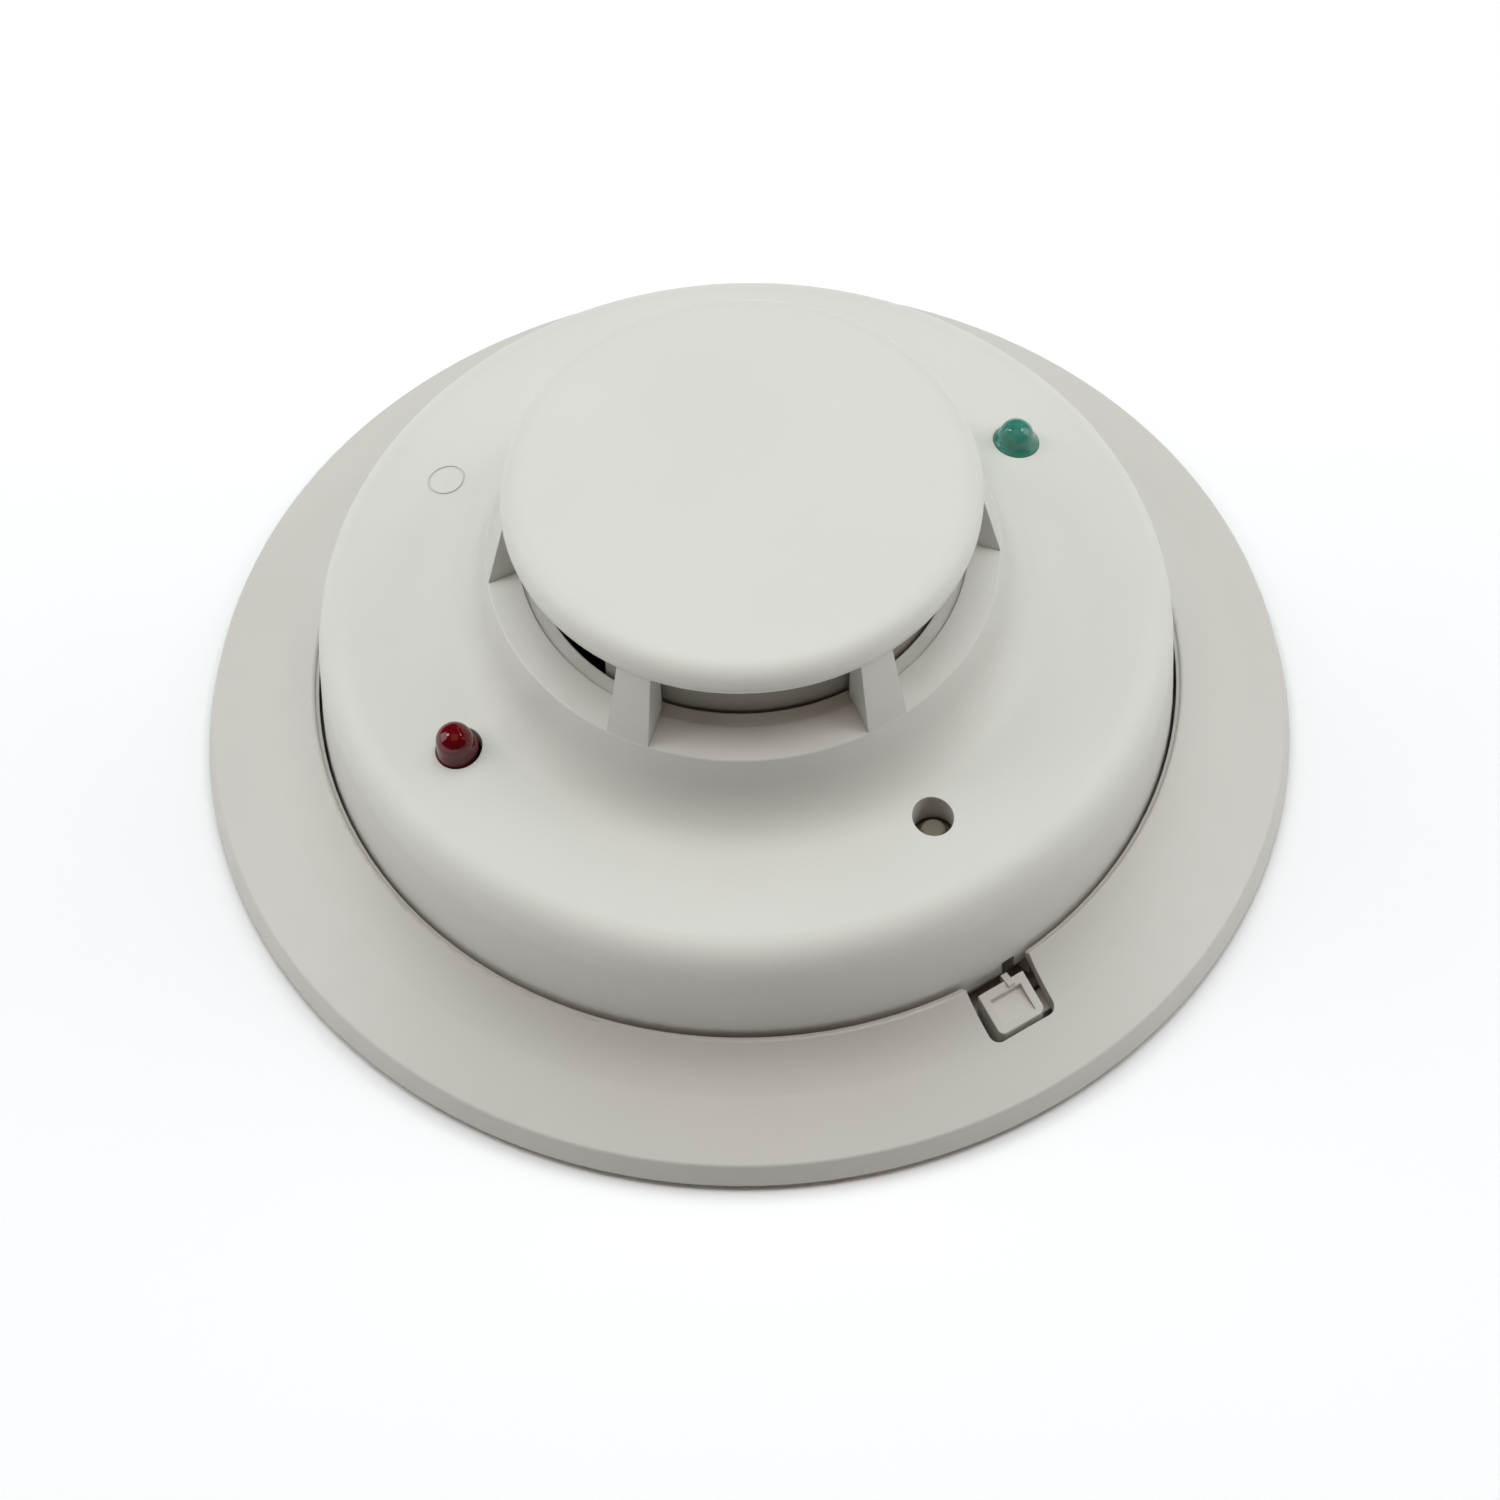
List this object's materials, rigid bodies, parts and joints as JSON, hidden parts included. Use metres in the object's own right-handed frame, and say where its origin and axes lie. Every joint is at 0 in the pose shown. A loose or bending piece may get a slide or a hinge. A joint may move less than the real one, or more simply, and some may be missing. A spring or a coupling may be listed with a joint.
{
  "type": "smoke detector",
  "caption": "Round ceiling smoke detector: twist-on head with windowed smoke chamber, two lamps and a test hole, on a wide base with a release tab.",
  "frame": {"origin": "middle of the base's back face, where it meets the ceiling or wall", "axes": "+Z out of the base towards the cap; the two lamps lie close to the X axis, green on the +X side and red on the -X side; the test hole and the release tab are on the -Y side"},
  "size_m": [0.1346, 0.1346, 0.0508],
  "materials": {
    "housing_plastic": "fine satin moulded, warm white",
    "rear_plastic": "satin moulded, light grey white",
    "black_plastic": "matt black, light absorbing",
    "screen_mesh": "blackened fine wire mesh",
    "brass": "plain stamped",
    "steel": "zinc plated",
    "tinned_lead": "tinned",
    "label": "blank printed film",
    "board": "green solder resist",
    "component_black": "moulded epoxy",
    "ceramic": "fired ceramic",
    "resonator": "ceramic, yellow brown",
    "relay_case": "white moulded case",
    "capacitor_sleeve": "dark sleeve",
    "varistor_coat": "blue dipped coating",
    "emitter_lens": "clear resin",
    "photodiode_lens": "dark filter resin",
    "green_lens": "tinted diffused resin",
    "red_lens": "tinted diffused resin"
  },
  "bodies": {
    "base": {"mounting_base": "housing_plastic", "terminal_clip_1": "brass", "terminal_clip_2": "brass", "terminal_clip_3": "brass", "terminal_clip_4": "brass", "terminal_washers": "steel", "terminal_screws": "steel"},
    "head": {"board_screws": "steel", "bridge_rectifier": "component_black", "chamber_base": "black_plastic", "chamber_cap": "black_plastic", "chamber_labyrinth": "black_plastic", "chip_capacitors": "ceramic", "chip_resistors": "component_black", "circuit_board": "board", "clock_resonator": "resonator", "component_pins": "tinned_lead", "contact_blade_1": "brass", "contact_blade_2": "brass", "contact_blade_3": "brass", "contact_blade_4": "brass", "cover": "housing_plastic", "driver_transistors": "component_black", "dust_guard": "housing_plastic", "filter_capacitor": "capacitor_sleeve", "green_lamp": "green_lens", "green_lamp_leads": "tinned_lead", "green_lamp_spacer": "component_black", "infrared_emitter": "emitter_lens", "insect_screen": "screen_mesh", "microcontroller": "component_black", "photodiode": "photodiode_lens", "photodiode_shield": "steel", "rear_housing": "rear_plastic", "rear_label": "label", "red_lamp": "red_lens", "red_lamp_leads": "tinned_lead", "red_lamp_spacer": "component_black", "relay": "relay_case", "reservoir_capacitor": "capacitor_sleeve", "screen_frame": "black_plastic", "sensor_amplifier": "component_black", "surge_suppressor": "varistor_coat", "test_spring": "steel", "test_switch": "component_black", "voltage_regulator": "component_black"},
    "release_tab": {"release_tab": "housing_plastic"},
    "test_button": {"test_plunger": "housing_plastic"}
  },
  "joints": [
    {"name": "head_twist", "type": "hinge", "parent": "base", "child": "head", "pos_m": [0, 0, 0.0056], "axis": [0, 0, 1], "range_deg": [0, 18]},
    {"name": "release_tab_press", "type": "hinge", "parent": "base", "child": "release_tab", "pos_m": [0.01515, -0.05464, 0.0038], "axis": [0.2672, -0.9636, 0], "range_deg": [0, 6], "stiffness_Nm_per_rad": 0.4, "springref_deg": -1.15},
    {"name": "test_button_press", "type": "slide", "parent": "head", "child": "test_button", "axis": [0, 0, -1], "range_m": [0, 0.0012], "stiffness_N_per_m": 350, "springref_m": -0.001, "deforming": ["test_spring"]}
  ]
}
